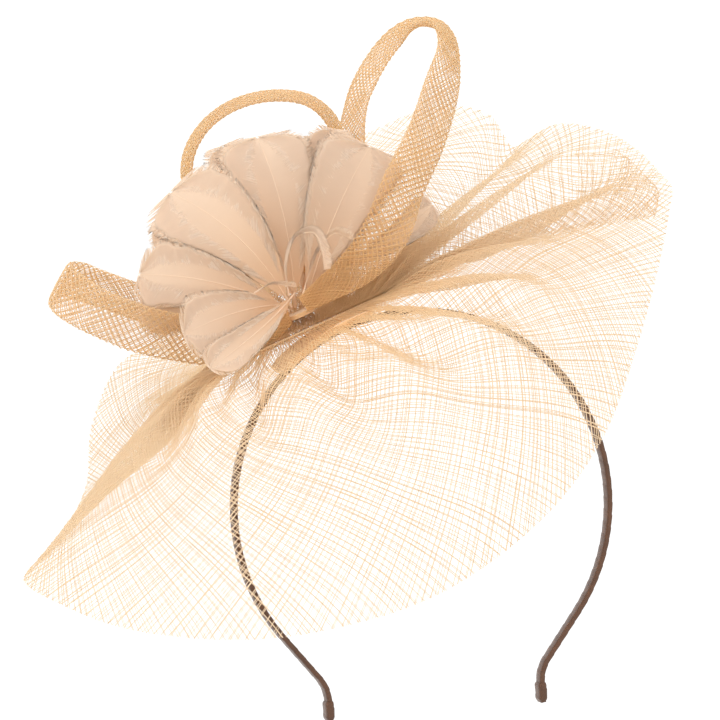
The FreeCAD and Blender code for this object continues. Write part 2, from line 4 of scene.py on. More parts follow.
import bmesh
import bpy
import numpy as np
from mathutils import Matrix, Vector


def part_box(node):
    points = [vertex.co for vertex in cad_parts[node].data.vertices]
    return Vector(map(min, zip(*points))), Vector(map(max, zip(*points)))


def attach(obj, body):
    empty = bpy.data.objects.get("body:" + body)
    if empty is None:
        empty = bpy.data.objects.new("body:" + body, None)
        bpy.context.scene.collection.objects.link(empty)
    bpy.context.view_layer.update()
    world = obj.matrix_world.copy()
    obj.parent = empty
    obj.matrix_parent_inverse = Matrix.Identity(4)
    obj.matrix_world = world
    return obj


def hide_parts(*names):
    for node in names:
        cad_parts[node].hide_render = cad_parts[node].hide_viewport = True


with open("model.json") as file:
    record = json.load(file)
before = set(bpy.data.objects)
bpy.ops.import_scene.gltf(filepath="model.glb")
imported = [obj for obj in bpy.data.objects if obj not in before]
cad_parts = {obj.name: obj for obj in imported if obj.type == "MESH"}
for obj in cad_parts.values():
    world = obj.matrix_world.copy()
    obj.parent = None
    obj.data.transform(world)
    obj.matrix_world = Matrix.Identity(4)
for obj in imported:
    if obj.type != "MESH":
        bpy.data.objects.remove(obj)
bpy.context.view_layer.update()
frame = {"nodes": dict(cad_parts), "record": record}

# ------------------------------------------------------------------ headband steel strip
# A flat spring-steel strip bent to an open arch. It is sealed inside the ribbon, so only its
# finish is set here. The strip is held by nothing but the winding round it.


class Wire:
    """A node's output that maths can be written with: an expression adds its Math nodes."""

    def __init__(self, bench, socket):
        self.bench = bench
        self.socket = socket

    def math(self, operation, *others):
        return self.bench.maths(operation, self, *others)

    def __add__(self, other):
        return self.math("ADD", other)

    def __radd__(self, other):
        return self.math("ADD", other)

    def __sub__(self, other):
        return self.math("SUBTRACT", other)

    def __rsub__(self, other):
        return self.bench.maths("SUBTRACT", other, self)

    def __mul__(self, other):
        return self.math("MULTIPLY", other)

    def __rmul__(self, other):
        return self.math("MULTIPLY", other)

    def __truediv__(self, other):
        return self.math("DIVIDE", other)


class Bench:
    """A node tree to work on: node() adds any node, with its settings made first."""

    def __init__(self, tree):
        self.tree = tree

    def node(self, kind, settings=None, inputs=None):
        made = self.tree.nodes.new(kind)
        for name, value in (settings or {}).items():
            setattr(made, name, value)
        usable = [socket for socket in made.inputs if socket.enabled]
        for key, value in (inputs or {}).items():
            if isinstance(key, int):
                socket = usable[key]
            else:
                socket = next(item for item in usable if key in (item.name, item.identifier))
            if isinstance(value, Wire):
                self.tree.links.new(value.socket, socket)
            else:
                socket.default_value = value
        return made

    def out(self, made, key=0):
        usable = [socket for socket in made.outputs if socket.enabled]
        if isinstance(key, int):
            return Wire(self, usable[key])
        return Wire(self, next(item for item in usable if item.name == key))

    def maths(self, operation, *values):
        return self.out(self.node("ShaderNodeMath", {"operation": operation},
                                  dict(enumerate(values))))

    def noise(self, vector, scale, detail=2.0, roughness=0.5):
        return self.out(self.node("ShaderNodeTexNoise", {}, {
            "Vector": vector, "Scale": scale, "Detail": detail, "Roughness": roughness}), 0)

    def blend(self, share, first, second):
        mixed = self.node("ShaderNodeMix", {"data_type": "RGBA"},
                          {"Factor_Float": share, "A_Color": first, "B_Color": second})
        return self.out(mixed, 0)

    def coords(self):
        return self.out(self.node("ShaderNodeTexCoord"), "Object")

    def vector(self, **parts):
        return self.out(self.node("ShaderNodeCombineXYZ", {}, parts))

    def bump(self, strength, distance, height):
        return self.out(self.node("ShaderNodeBump", {}, {
            "Strength": strength, "Distance": distance, "Height": height}))


def linear(red, green, blue):
    """A colour given as 0 to 255 screen values, as the shader wants it."""
    def channel(value):
        value /= 255
        return value / 12.92 if value <= 0.04045 else ((value + 0.055) / 1.055) ** 2.4
    return (channel(red), channel(green), channel(blue), 1.0)


def new_material(name, **uniform):
    """A material with its Principled shader's uniform values set; gives the bench too."""
    material = bpy.data.materials.new(name)
    material.use_nodes = True
    bench = Bench(material.node_tree)
    shader = next(item for item in material.node_tree.nodes if item.type == "BSDF_PRINCIPLED")
    for socket, value in uniform.items():
        shader.inputs[socket.replace("_", " ")].default_value = value
    return material, bench, shader


def feed(bench, shader, **wires):
    for socket, wire in wires.items():
        bench.tree.links.new(wire.socket, shader.inputs[socket.replace("_", " ")])


def let_light_through(bench, shader, colour, share):
    """Mixes the shader with light that passes through thin fibre."""
    output = next(item for item in bench.tree.nodes if item.type == "OUTPUT_MATERIAL")
    through = bench.node("ShaderNodeBsdfTranslucent", {}, {"Color": colour})
    mixed = bench.node("ShaderNodeMixShader", {}, {
        0: share, 1: Wire(bench, shader.outputs[0]), 2: Wire(bench, through.outputs[0])})
    bench.tree.links.new(mixed.outputs[0], output.inputs["Surface"])


def finish_node(node, material):
    """Gives a CAD node its material."""
    for slot in frame["nodes"][node].material_slots:
        slot.material = material


def settle(piece, node):
    """A finished piece rides the headband's body and stands for its CAD node."""
    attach(piece, "root")
    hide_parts(node)


steel, bench, shader = new_material("spring_steel", Metallic=1.0)
drawn = bench.noise(bench.coords(), 900.0, 3.0)
feed(bench, shader, Roughness=0.28 + drawn * 0.2,
     Base_Color=bench.blend(drawn, linear(176, 178, 182), linear(150, 152, 158)))
finish_node("headband_steel_strip", steel)

# ------------------------------------------------------------------ ribbon wrap
# Dark brown satin ribbon wound round the strip at a slant, each turn lapping the last one.
# The winding is glued as it goes. A short end is turned up over each tip and wound over.
mm = 0.001
grip = next(mount for mount in frame["record"]["mounts"] if mount["name"] == "head_clamp")
band_low, band_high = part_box("headband_ribbon_wrap")
band_width = band_high.y - band_low.y
band_gauge = 2.2 * mm
arc_radius = grip["dims"]["r_mm"] * mm + band_gauge / 2
arc_drop = math.radians(38)
leg_length = 20 * mm
bend_radius = 14 * mm
tip_length = 7 * mm
lean = math.radians(3.8)
turn_pitch = 4.6 * mm
lap_height = 0.28 * mm
core_inset = 0.15 * mm
winding_step = 0.45 * mm


def leaned(across, up):
    """The band is turned a little in its own plane, its tips towards +X."""
    return (across * math.cos(lean) - up * math.sin(lean),
            across * math.sin(lean) + up * math.cos(lean))


def run_length(points):
    """The length of the line through points."""
    return float(np.linalg.norm(np.diff(points, axis=0), axis=1).sum())


def resampled(points, count, with_end=True):
    """The same line as a count of points, evenly along it."""
    gaps = np.linalg.norm(np.diff(points[:, :3], axis=0), axis=1)
    reach = np.concatenate([[0], np.cumsum(gaps)])
    places = np.linspace(0, reach[-1], count, endpoint=with_end)
    return np.stack([np.interp(places, reach, points[:, axis])
                     for axis in range(points.shape[1])], 1)


def arch_path(spacing):
    """Centreline of the band from the tip on +X over the top to the other tip, in XZ."""
    corner = np.array([math.cos(arc_drop), -math.sin(arc_drop)]) * arc_radius
    inward = np.array([-math.sin(arc_drop), -math.cos(arc_drop)])
    leg_end = corner + inward * leg_length
    centre = leg_end + np.array([math.cos(arc_drop), -math.sin(arc_drop)]) * bend_radius
    turns = np.linspace(math.pi - arc_drop, math.pi, 12)
    bend = centre + bend_radius * np.stack([np.cos(turns), np.sin(turns)], 1)
    half = [bend[-1] - [0, tip_length], *bend[::-1], corner]
    angles = np.linspace(-arc_drop, math.pi / 2, 60)[1:]
    half += [arc_radius * np.array([math.cos(a), math.sin(a)]) for a in angles]
    half = np.array(half)
    whole = np.vstack([half, (half * [-1, 1])[-2::-1]])
    line = np.stack(leaned(whole[:, 0], whole[:, 1]), 1)
    return resampled(line, round(run_length(line) / spacing) + 1)


def grid_mesh(name, points, close_across=False, close_along=False):
    """A mesh of quads from a grid of points, rows by columns."""
    rows, columns = points.shape[:2]
    across = columns if close_across else columns - 1
    along = rows if close_along else rows - 1
    faces = [(i * columns + j, i * columns + (j + 1) % columns,
              (i + 1) % rows * columns + (j + 1) % columns, (i + 1) % rows * columns + j)
             for i in range(along) for j in range(across)]
    mesh = bpy.data.meshes.new(name)
    mesh.from_pydata(points.reshape(-1, 3).tolist(), [], faces)
    mesh.update()
    return mesh


def add_piece(name, mesh, material):
    """Puts a mesh in the scene as a smooth-shaded piece."""
    piece = bpy.data.objects.new(name, mesh)
    bpy.context.scene.collection.objects.link(piece)
    mesh.materials.append(material)
    for polygon in mesh.polygons:
        polygon.use_smooth = True
    return piece


def outward(mesh):
    """Closes a mesh's open ends and turns its faces to point out of it."""
    work = bmesh.new()
    work.from_mesh(mesh)
    bmesh.ops.holes_fill(work, edges=[edge for edge in work.edges if edge.is_boundary])
    bmesh.ops.recalc_face_normals(work, faces=work.faces)
    work.to_mesh(mesh)
    work.free()


def oblong(angle, half_gauge, half_width, squareness=5.0):
    """A point on a rounded oblong, by angle: gauge along x, width along y."""
    c, s = np.cos(angle), np.sin(angle)
    reach = (np.abs(c) ** squareness + np.abs(s) ** squareness) ** (-1 / squareness)
    return half_gauge * c * reach, half_width * s * reach


def wound_ribbon():
    """The band's wall with a low step where each turn of ribbon laps the one before."""
    line = arch_path(winding_step)
    along = np.arange(len(line)) * winding_step
    heading = np.gradient(line, axis=0)
    heading /= np.linalg.norm(heading, axis=1)[:, None]
    normal = np.stack([heading[:, 1], -heading[:, 0]], 1)
    sides = 36
    angle = np.arange(sides) / sides * 2 * math.pi
    gauge, width = oblong(angle, band_gauge / 2 - core_inset, band_width / 2 - core_inset)
    phase = (along[:, None] / turn_pitch + angle[None, :] / (2 * math.pi)) % 1.0
    step = np.clip(phase / 0.9, 0, 1) ** 0.8 * np.clip((1 - phase) / 0.08, 0, 1)
    wander = np.random.default_rng(4).normal(0, 0.05, (len(line), 1))
    swell = lap_height * (step + wander * 0.3)
    grow = 1 + swell / np.hypot(gauge, width)[None, :]
    local_gauge, local_width = gauge * grow, width * grow
    points = np.zeros((len(line), sides, 3))
    points[..., 0] = line[:, 0, None] + normal[:, 0, None] * local_gauge
    points[..., 2] = line[:, 1, None] + normal[:, 1, None] * local_gauge
    points[..., 1] = local_width
    return grid_mesh("headband_ribbon", points, close_across=True)


ribbon, bench, shader = new_material("brown_satin_ribbon", Sheen_Weight=0.35,
                                     Sheen_Roughness=0.4, Specular_IOR_Level=0.45)
ribs = bench.noise(bench.coords(), 2400.0, 2.0)
wear = bench.noise(bench.coords(), 160.0, 3.0)
feed(bench, shader, Base_Color=bench.blend(wear, linear(60, 36, 20), linear(98, 62, 36)),
     Roughness=0.45 + ribs * 0.25, Normal=bench.bump(0.5, 0.1 * mm, ribs))
ribbon_wrap = add_piece("ribbon_winding", wound_ribbon(), ribbon)
outward(ribbon_wrap.data)
settle(ribbon_wrap, "headband_ribbon_wrap")


def tip_wrap(node):
    """The turned-up ribbon end: a soft blind cap with a slanting lap round it."""
    low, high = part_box(node)
    centre = (low + high) / 2
    wall = 0.6 * mm
    half_gauge = band_gauge / 2 + wall
    half_width = band_width / 2 + wall
    half_height = (tip_length + wall) / 2
    sides, rings = 40, 26
    angle = np.arange(sides) / sides * 2 * math.pi
    points = []
    for share in np.linspace(0, 1, rings):
        dome = math.sqrt(max(0.0, 1 - (1 - min(1, share / 0.22)) ** 2))
        mouth = 1 - 0.12 * max(0, (share - 0.85) / 0.15)
        gauge, width = oblong(angle, half_gauge, half_width, 4.0)
        lap = (share * 1.6 + angle / (2 * math.pi)) % 1.0
        fold = 0.92 + 0.08 * np.clip(lap / 0.85, 0, 1) * np.clip((1 - lap) / 0.1, 0, 1)
        reach = max(0.02, dome) * mouth * fold
        turned = leaned(gauge * reach, np.full(sides, (share ** 0.8 * 2 - 1) * half_height))
        points.append(np.stack([centre.x + turned[0], centre.y + width * reach,
                                centre.z + turned[1]], 1))
    mesh = grid_mesh(node, np.array(points), close_across=True)
    outward(mesh)
    return mesh


for node in ("left_end_wrap", "right_end_wrap"):
    settle(add_piece(f"{node}_folded", tip_wrap(node), ribbon), node)

# ------------------------------------------------------------------ felt and thread
# A curved felt patch joins band and saucer, whip-stitched down both edges of the ribbon, and a
# small felt disc holds the quills. The same cotton thread gathers the saucer's middle.
felt, bench, shader = new_material("nude_felt", Roughness=0.95, Sheen_Weight=0.4)
fluff = bench.noise(bench.coords(), 700.0, 6.0, 0.7)
feed(bench, shader, Base_Color=bench.blend(fluff, linear(204, 160, 112), linear(226, 186, 138)),
     Normal=bench.bump(0.7, 0.3 * mm, fluff))
finish_node("base_patch", felt)
finish_node("feather_pad", felt)

cotton, bench, shader = new_material("cotton_thread", Roughness=0.8, Sheen_Weight=0.3)
twist = bench.noise(bench.coords(), 1800.0, 2.0)
feed(bench, shader, Base_Color=bench.blend(twist, linear(196, 158, 116), linear(226, 194, 150)),
     Normal=bench.bump(0.6, 0.1 * mm, twist))
finish_node("anchor_stitches", cotton)
finish_node("gather_thread", cotton)

# ------------------------------------------------------------------ saucer
# One wide bias-cut strip of open sinamay, folded double so that the fold is the outer rim, and
# drawn up round a slot in the middle. Both plies are woven here thread by thread.
show_turn = math.radians(15)
slot_centre = np.array([-44, 0, 62.5]) * mm
slot_tilt = math.radians(24)
slot_half_length = 33 * mm
slot_half_width = 3 * mm
ply_gap = 0.8 * mm
fine_points = 24
rim_front = [(-139.5, -58, -24), (-126, -80, -31), (-101, -96, -39), (-63, -106, -42),
             (-31, -107, -38), (4, -98, -27), (39, -80, -3), (61, -58, 24), (76, -28, 59),
             (87, 4, 94), (90, 16, 107)]
rim_back = [(91.5, 22, 114.5), (88, 32, 120), (81, 52, 130), (68, 75, 139), (52, 92, 142),
            (42, 101, 137), (36, 107, 134), (32, 111, 140), (27, 113, 147), (8, 113, 150),
            (-23, 112, 138), (-54, 114, 118), (-80, 112, 90), (-99, 98, 62), (-114, 75, 50),
            (-122, 45, 28), (-122, 10, 7), (-129, -28, -11), (-135.5, -46, -19)]
# Folds out of the gathered middle: the angle round it in degrees, the rise in mm, the spread in
# degrees, and the share of the way out. The wide ones shape the crest and the hollow behind
# it, and the narrow ones are pleats.
folds = [(186, 2, 16, 1), (152, -8, 18, 1), (120, -8, 20, 1), (134, 4, 7, 0.9),
         (3, 5, 5, 1.15), (13, -8, 6, 1), (23, 6, 5, 1.05), (31, -5, 5, 1), (37, 5, 5, 1),
         (46, -8, 5, 1), (58, 6, 8, 0.9), (74, -4, 6, 0.6), (90, 4, 6, 0.6),
         (206, -4, 5, 0.6), (222, 3, 5, 0.6), (238, -4, 5, 0.6), (251, 4, 5, 0.7),
         (262, -4, 5, 0.7), (273, 4, 5, 0.75), (284, -4, 5, 0.7), (296, 4, 5, 0.8),
         (307, -4, 5, 0.7), (319, 4, 5, 0.8), (332, -4, 6, 0.7), (346, 3, 5, 0.7)]


def facing(places):
    """Places given square to the show side, across, depth, up in mm, as places in metres."""
    places = np.array(places, float)
    c, s = math.cos(show_turn), math.sin(show_turn)
    return np.stack([places[:, 0] * c + places[:, 1] * s,
                     -places[:, 0] * s + places[:, 1] * c, places[:, 2]], 1)


def smooth_line(points, closed=False):
    """A smooth line through points, each span of it divided into fine points."""
    count = len(points)
    if closed:
        points = np.vstack([points[-1:], points, points[:2]])
    else:
        points = np.vstack([2 * points[0] - points[1], points, 2 * points[-1] - points[-2]])
    gaps = np.sqrt(np.linalg.norm(np.diff(points[:, :3], axis=0), axis=1))
    knots = np.concatenate([[0], np.cumsum(gaps)])
    fine = []
    for span in range(1, count + (1 if closed else 0)):
        p0, p1, p2, p3 = points[span - 1:span + 3]
        t0, t1, t2, t3 = knots[span - 1:span + 3]
        for t in np.linspace(t1, t2, fine_points, endpoint=False):
            a1 = (t1 - t) / (t1 - t0) * p0 + (t - t0) / (t1 - t0) * p1
            a2 = (t2 - t) / (t2 - t1) * p1 + (t - t1) / (t2 - t1) * p2
            a3 = (t3 - t) / (t3 - t2) * p2 + (t - t2) / (t3 - t2) * p3
            b1 = (t2 - t) / (t2 - t0) * a1 + (t - t0) / (t2 - t0) * a2
            b2 = (t3 - t) / (t3 - t1) * a2 + (t - t1) / (t3 - t1) * a3
            fine.append((t2 - t) / (t2 - t1) * b1 + (t - t1) / (t2 - t1) * b2)
    if not closed:
        fine.append(points[-2])
    return np.array(fine)


def unit(vectors):
    """The same directions, each one long."""
    return vectors / np.maximum(np.linalg.norm(vectors, axis=-1, keepdims=True), 1e-12)


def fold_height(degrees, share):
    """How far the folds lift the cloth at shares of the way out, at an angle round it."""
    height = np.zeros_like(share)
    for angle, rise, spread, run in folds:
        gap = (degrees - angle + 180) % 360 - 180
        height += (rise * mm * math.exp(-(gap / spread) ** 2)
                   * np.sin(math.pi * np.clip(share / run, 0, 1)) ** 2)
    gathers = np.sin(math.pi * np.clip(share / 0.4, 0, 1)) ** 2
    return height + 1.3 * mm * math.cos(math.radians(degrees * 31)) * gathers


def saucer_surface(half_count, steps):
    """The saucer's middle surface: a row of points from the slot to the rim for each place."""
    line = facing(rim_front + rim_back) * mm
    fine = smooth_line(line, closed=True)
    middle = len(rim_front) * fine_points
    rim = np.vstack([resampled(fine[:middle + 1], half_count, False),
                     resampled(np.vstack([fine[middle:], fine[:1]]), half_count, False)])
    along = np.array([math.cos(slot_tilt), 0, math.sin(slot_tilt)])
    lift = np.array([-math.sin(slot_tilt), 0, math.cos(slot_tilt)])
    back = np.array([0, 1.0, 0])
    rows = []
    for index, edge in enumerate(rim):
        degrees = (180 + 180 * index / half_count) % 360
        angle = math.radians(degrees)
        c, s = math.cos(angle), math.sin(angle)
        front, rear = max(0, -s), max(0, s)
        # The cloth leaves the slot one way and comes to the rim another, lower in front and
        # higher behind, and a smooth curve joins the two.
        slot = slot_centre + along * slot_half_length * c + back * slot_half_width * s
        launch = unit(along * c + back * 0.9 * s + lift * (0.15 - 0.4 * front + 0.45 * rear))
        reach = np.linalg.norm(edge - slot)
        finish = unit((edge - slot) / reach + np.array([0, -0.1, -1.6]) * front
                      + np.array([0, 0.2, 0.35]) * rear)
        pull_in = edge - finish * reach * (0.3 + 0.18 * front)
        pull_out = slot + launch * reach * (0.22 + 0.3 * front)
        t = np.linspace(0, 1, 90)[:, None] ** 1.3
        curve = ((1 - t) ** 3 * slot + 3 * (1 - t) ** 2 * t * pull_out
                 + 3 * (1 - t) * t ** 2 * pull_in + t ** 3 * edge)
        heading = unit(np.gradient(curve, axis=0))
        sideways = back * c - along * s
        normal = unit(np.cross(heading, sideways))
        curve = curve + normal * fold_height(degrees, t)
        rows.append(resampled(curve, steps + 1))
    rows.append(rows[0])
    return np.array(rows)


def lay_map(mesh, across, along):
    """The cloth map, which gives each of the mesh's points its place across and along."""
    corners = np.array([loop.vertex_index for loop in mesh.loops])
    layer = mesh.uv_layers.new(name="cloth")
    layer.data.foreach_set("uv", np.stack([across[corners], along[corners]], 1).ravel())


def cloth_surface(name, points):
    """A surface to lay threads on: rows go round (or are one edge of a tube's section to the
    other), columns run along. Its map holds both as 0 to 1, and out holds its normals."""
    mesh = grid_mesh(name, points)
    rows, columns = points.shape[:2]
    place = np.arange(rows * columns)
    lay_map(mesh, place // columns / (rows - 1), place % columns / (columns - 1))
    wrapped = np.vstack([points[-2:-1], points, points[1:2]])
    normals = unit(np.cross(wrapped[2:] - wrapped[:-2], np.gradient(points, axis=1)))
    store = mesh.attributes.new("out", "FLOAT_VECTOR", "POINT")
    store.data.foreach_set("vector", normals.ravel())
    return mesh


def growing_tree(name, material_input, sizes):
    """A Geometry Nodes tree with named inputs; gives its bench and those inputs too."""
    tree = bpy.data.node_groups.new(name, "GeometryNodeTree")
    bench = Bench(tree)
    face = tree.interface
    face.new_socket("Geometry", in_out="INPUT", socket_type="NodeSocketGeometry")
    for label, kind, value in sizes:
        made = face.new_socket(label, in_out="INPUT", socket_type=f"NodeSocket{kind}")
        made.default_value = value
    face.new_socket(material_input, in_out="INPUT", socket_type="NodeSocketMaterial")
    face.new_socket("Geometry", in_out="OUTPUT", socket_type="NodeSocketGeometry")
    given = tree.nodes.new("NodeGroupInput")
    wanted = {socket.name: Wire(bench, socket) for socket in given.outputs if socket.name}
    return tree, bench, wanted


def loose_lines(bench, count, places):
    """Lines of points still to be laid, with each point's line number and share along it."""
    points = bench.out(bench.node("GeometryNodePoints", {}, {"Count": count}))
    line = bench.out(bench.node("GeometryNodeCurvePrimitiveLine"))
    divided = bench.out(bench.node("GeometryNodeResampleCurve", {}, {
        "Curve": line, "Count": places}))
    laid = bench.out(bench.node("GeometryNodeInstanceOnPoints", {}, {
        "Points": points, "Instance": divided}))
    lines = bench.out(bench.node("GeometryNodeRealizeInstances", {}, {"Geometry": laid}))
    index = bench.out(bench.node("GeometryNodeInputIndex"))
    number = bench.maths("FLOOR", (index + 0.5) / places)
    return lines, number, (index - number * places) / (places - 1.0)


def chance(bench, low, high, number, seed):
    """A random value for each numbered line, the same in every run."""
    return bench.out(bench.node("FunctionNodeRandomValue", {"data_type": "FLOAT"}, {
        "Min": low, "Max": high, "ID": number, "Seed": seed}))


def kept_inside(bench, place, margin):
    """A place on the map, kept off its very edges."""
    return bench.maths("MINIMUM", bench.maths("MAXIMUM", place, margin), 1 - margin)


def laid_on(bench, cloth, lines, place, height):
    """Lines laid at places on the cloth's map, raised off it; gives the cloth's normals too."""
    cloth_map, out_way = [bench.out(bench.node(
        "GeometryNodeInputNamedAttribute", {"data_type": "FLOAT_VECTOR"}, {"Name": name}))
        for name in ("cloth", "out")]
    position = bench.out(bench.node("GeometryNodeInputPosition"))
    spot, normal = [bench.out(bench.node(
        "GeometryNodeSampleUVSurface", {"data_type": "FLOAT_VECTOR"},
        {"Mesh": cloth, "Value": value, "UV Map": cloth_map, "Sample UV": place}))
        for value in (position, out_way)]
    raised = bench.out(bench.node("ShaderNodeVectorMath", {"operation": "SCALE"}, {
        "Vector": normal, "Scale": height}))
    final = bench.out(bench.node("ShaderNodeVectorMath", {"operation": "ADD"}, {
        0: spot, 1: raised}))
    placed = bench.out(bench.node("GeometryNodeSetPosition", {}, {
        "Geometry": lines, "Position": final}))
    return placed, normal


def finish_tree(tree, bench, parts, material):
    """Ends a tree: its parts joined, made real, shaded smooth and given their material."""
    joined = bench.node("GeometryNodeJoinGeometry")
    for part in parts:
        tree.links.new(part.socket, joined.inputs[0])
    real = bench.out(bench.node("GeometryNodeRealizeInstances", {}, {
        "Geometry": bench.out(joined)}))
    smooth = bench.out(bench.node("GeometryNodeSetShadeSmooth", {}, {"Geometry": real}))
    finished = bench.out(bench.node("GeometryNodeSetMaterial", {}, {
        "Geometry": smooth, "Material": material}))
    result = tree.nodes.new("NodeGroupOutput")
    tree.links.new(finished.socket, result.inputs[0])
    return tree


def weave_tree():
    """Threads on the bias: two slanting families laid over a cloth surface's map. The round
    way closes on itself, and the run way goes from 0 to 1."""
    tree, bench, wanted = growing_tree("bias_weave", "Thread", (
        ("Thread Count", "Int", 300), ("Places", "Int", 40), ("Slant", "Float", 0.2),
        ("Thread Radius", "Float", 0.0002), ("Jitter", "Float", 0.3),
        ("Wander", "Float", 0.003), ("Lift", "Float", 0.0004), ("Ply Share", "Float", 0.0001),
        ("Rim Closing", "Float", 0.02), ("Gather", "Float", 0.0), ("Short Ends", "Float", 0.0),
        ("Left Seed", "Int", 1), ("Right Seed", "Int", 2), ("Close Ends", "Bool", False)))
    families = []
    for slant, seed in ((1.0, wanted["Left Seed"]), (-1.0, wanted["Right Seed"])):
        threads, thread, share = loose_lines(bench, wanted["Thread Count"], wanted["Places"])
        shake = chance(bench, -0.5, 0.5, thread, seed)
        cut_short = chance(bench, 0.0, wanted["Short Ends"], thread, seed + 80.0)
        share = share * (1.0 - cut_short)
        start = (thread + shake * wanted["Jitter"]) / wanted["Thread Count"]
        spot = bench.vector(X=start * 60.0, Y=share * 3.0, Z=seed * 7.3)
        sway = (bench.noise(spot, 1.0, 1.0) - 0.5) * wanted["Wander"]
        turned = bench.maths("POWER", bench.maths("SINE", share * 1.26), 1.5) * 1.25
        shift = share + (turned - share) * wanted["Gather"]
        round_place = start + shift * wanted["Slant"] * slant + sway
        round_place = round_place - bench.maths("FLOOR", round_place)
        place = bench.vector(X=kept_inside(bench, round_place, 1e-5),
                             Y=kept_inside(bench, share, 1e-4))
        closing = bench.maths("MINIMUM", (1.0 - share) / wanted["Rim Closing"], 1.0)
        height = wanted["Lift"] * closing + wanted["Ply Share"] * slant
        placed = laid_on(bench, wanted["Geometry"], threads, place, height)[0]
        thick = chance(bench, 0.0, 1.0, thread, seed + 40.0)
        slub = bench.noise(spot, 9.0, 2.0)
        section = bench.out(bench.node("GeometryNodeCurvePrimitiveCircle", {}, {
            "Resolution": 3, "Radius": wanted["Thread Radius"]}))
        size = (0.75 + thick * thick * 0.5) * (0.8 + slub * 0.4)
        families.append(bench.out(bench.node("GeometryNodeCurveToMesh", {}, {
            "Curve": placed, "Profile Curve": section, "Scale": size,
            "Fill Caps": wanted["Close Ends"]})))
    return finish_tree(tree, bench, families, wanted["Thread"])


def grown(tree, surface, name, **inputs):
    """Runs a tree on a surface and keeps the result as a plain mesh piece."""
    carrier = bpy.data.objects.new(name, surface)
    bpy.context.scene.collection.objects.link(carrier)
    modifier = carrier.modifiers.new("work", "NODES")
    modifier.node_group = tree
    sockets = {item.name: item.identifier for item in tree.interface.items_tree
               if item.in_out == "INPUT"}
    for key, value in inputs.items():
        modifier[sockets[key.replace("_", " ")]] = value
    graph = bpy.context.evaluated_depsgraph_get()
    mesh = bpy.data.meshes.new_from_object(carrier.evaluated_get(graph))
    bpy.data.objects.remove(carrier)
    mesh.name = name
    piece = bpy.data.objects.new(name, mesh)
    bpy.context.scene.collection.objects.link(piece)
    return piece


def painted_shade_near_middle(bench, radius):
    """Mask for painted shade: 1 at the middle of the flower, falling to 0 at a radius from it.
    """
    gap = bench.out(bench.node("ShaderNodeVectorMath", {"operation": "DISTANCE"}, {
        0: bench.coords(), 1: tuple(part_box("feather_pad")[1])}), "Value")
    return bench.maths("MAXIMUM", 1.0 - gap / radius, 0.0)


def sinamay_material(name, dull, bright, in_clouds, through):
    """Undyed banana fibre: streaky, a little see-through, with painted shade at the middle."""
    material, bench, shader = new_material(name, Specular_IOR_Level=0.3)
    streak = bench.noise(bench.coords(), 240.0, 3.0)
    cloud = bench.noise(bench.coords(), 18.0, 2.0)
    fibre = bench.blend(cloud * 0.35, bench.blend(streak, dull, bright), in_clouds)
    # Painted shade: deep gold towards the flower's middle, where many layers lie in shade.
    fibre_with_painted_shade = bench.blend(painted_shade_near_middle(bench, 80 * mm), fibre, linear(248, 208, 144))
    feed(bench, shader, Base_Color=fibre_with_painted_shade, Roughness=0.5 + streak * 0.25)
    let_light_through(bench, shader, through, 0.75)
    return material


sinamay = sinamay_material("natural_sinamay", linear(245, 228, 202), linear(252, 240, 222),
                           linear(243, 217, 182), linear(255, 238, 208))
open_sinamay = sinamay_material("open_sinamay", linear(239, 224, 206), linear(248, 238, 223),
                                linear(240, 217, 190), linear(254, 240, 218))
weave = weave_tree()
half_rim = 240
reach_places = 48
saucer = saucer_surface(half_rim, reach_places)
rim_length = run_length(saucer[:, -1])
reach_out = float(np.linalg.norm(np.diff(saucer, axis=1), axis=2).sum(1).mean())
thread_spacing = 2.35 * mm
bend_spacing = 4.0 * mm
saucer_threads = round(rim_length / (thread_spacing * math.sqrt(2)))
saucer_places = round(reach_out * math.sqrt(2) / bend_spacing) + 1
for name, lift, left, right in (("saucer_upper_ply", 0.5, 11, 23),
                                ("saucer_under_ply", -0.5, 23, 11)):
    piece = grown(weave, cloth_surface(f"{name}_cloth", saucer), name,
                  Thread_Count=saucer_threads, Places=saucer_places,
                  Slant=reach_out / rim_length * 1.1, Thread_Radius=0.145 * mm, Jitter=0.6,
                  Wander=0.003, Lift=lift * ply_gap, Ply_Share=0.1 * mm, Rim_Closing=0.02,
                  Gather=1.0, Left_Seed=left, Right_Seed=right, Thread=open_sinamay)
    settle(piece, "sinamay_saucer")

# Spare cloth from the gathers lies tucked behind the front: all along the slot, and under the
# crest that runs out to the saucer's tip. Each tuck is doubled, so its rows go there and back.
front_rows = saucer[half_rim:2 * half_rim]
slot_tuck = np.array([resampled(row[:reach_places // 2], 30) for row in front_rows])
crest_tuck = saucer[half_rim - 8:half_rim + 32, 4:-2].transpose(1, 0, 2)
tuck_gap = np.array([0, -1.2, 0.6]) * mm
for name, cloth, count, slant, short, seed in (
        ("slot_tuck", slot_tuck, 520, 0.06, 0.75, 71),
        ("crest_tuck", crest_tuck, 90, 0.2, 0.85, 91)):
    doubled = np.vstack([cloth, cloth[::-1] - tuck_gap])
    piece = grown(weave, cloth_surface(f"{name}_cloth", doubled), name, Thread_Count=count,
                  Places=18, Slant=slant, Thread_Radius=0.14 * mm, Jitter=0.8, Wander=0.003,
                  Lift=-1.0 * mm, Ply_Share=0.12 * mm, Rim_Closing=0.7, Short_Ends=short,
                  Left_Seed=seed, Right_Seed=seed + 5, Thread=open_sinamay)
    settle(piece, "sinamay_saucer")

# ------------------------------------------------------------------ loops of bias tube
# Flat tubes of the same sinamay, cut on the bias, 18 mm wide when pressed. Each is bent to a
# loop with its ends caught under the flower. The cloth is doubled, so a pressed tube is four
# plies thick: two tubes of threads, one just inside the other.
tube_width = 18 * mm
tube_gauge = 2.0 * mm
tube_inset = 0.35 * mm
tube_thread_spacing = 1.75 * mm
tube_bend_spacing = 1.8 * mm
tube_places = 160
section_places = 49
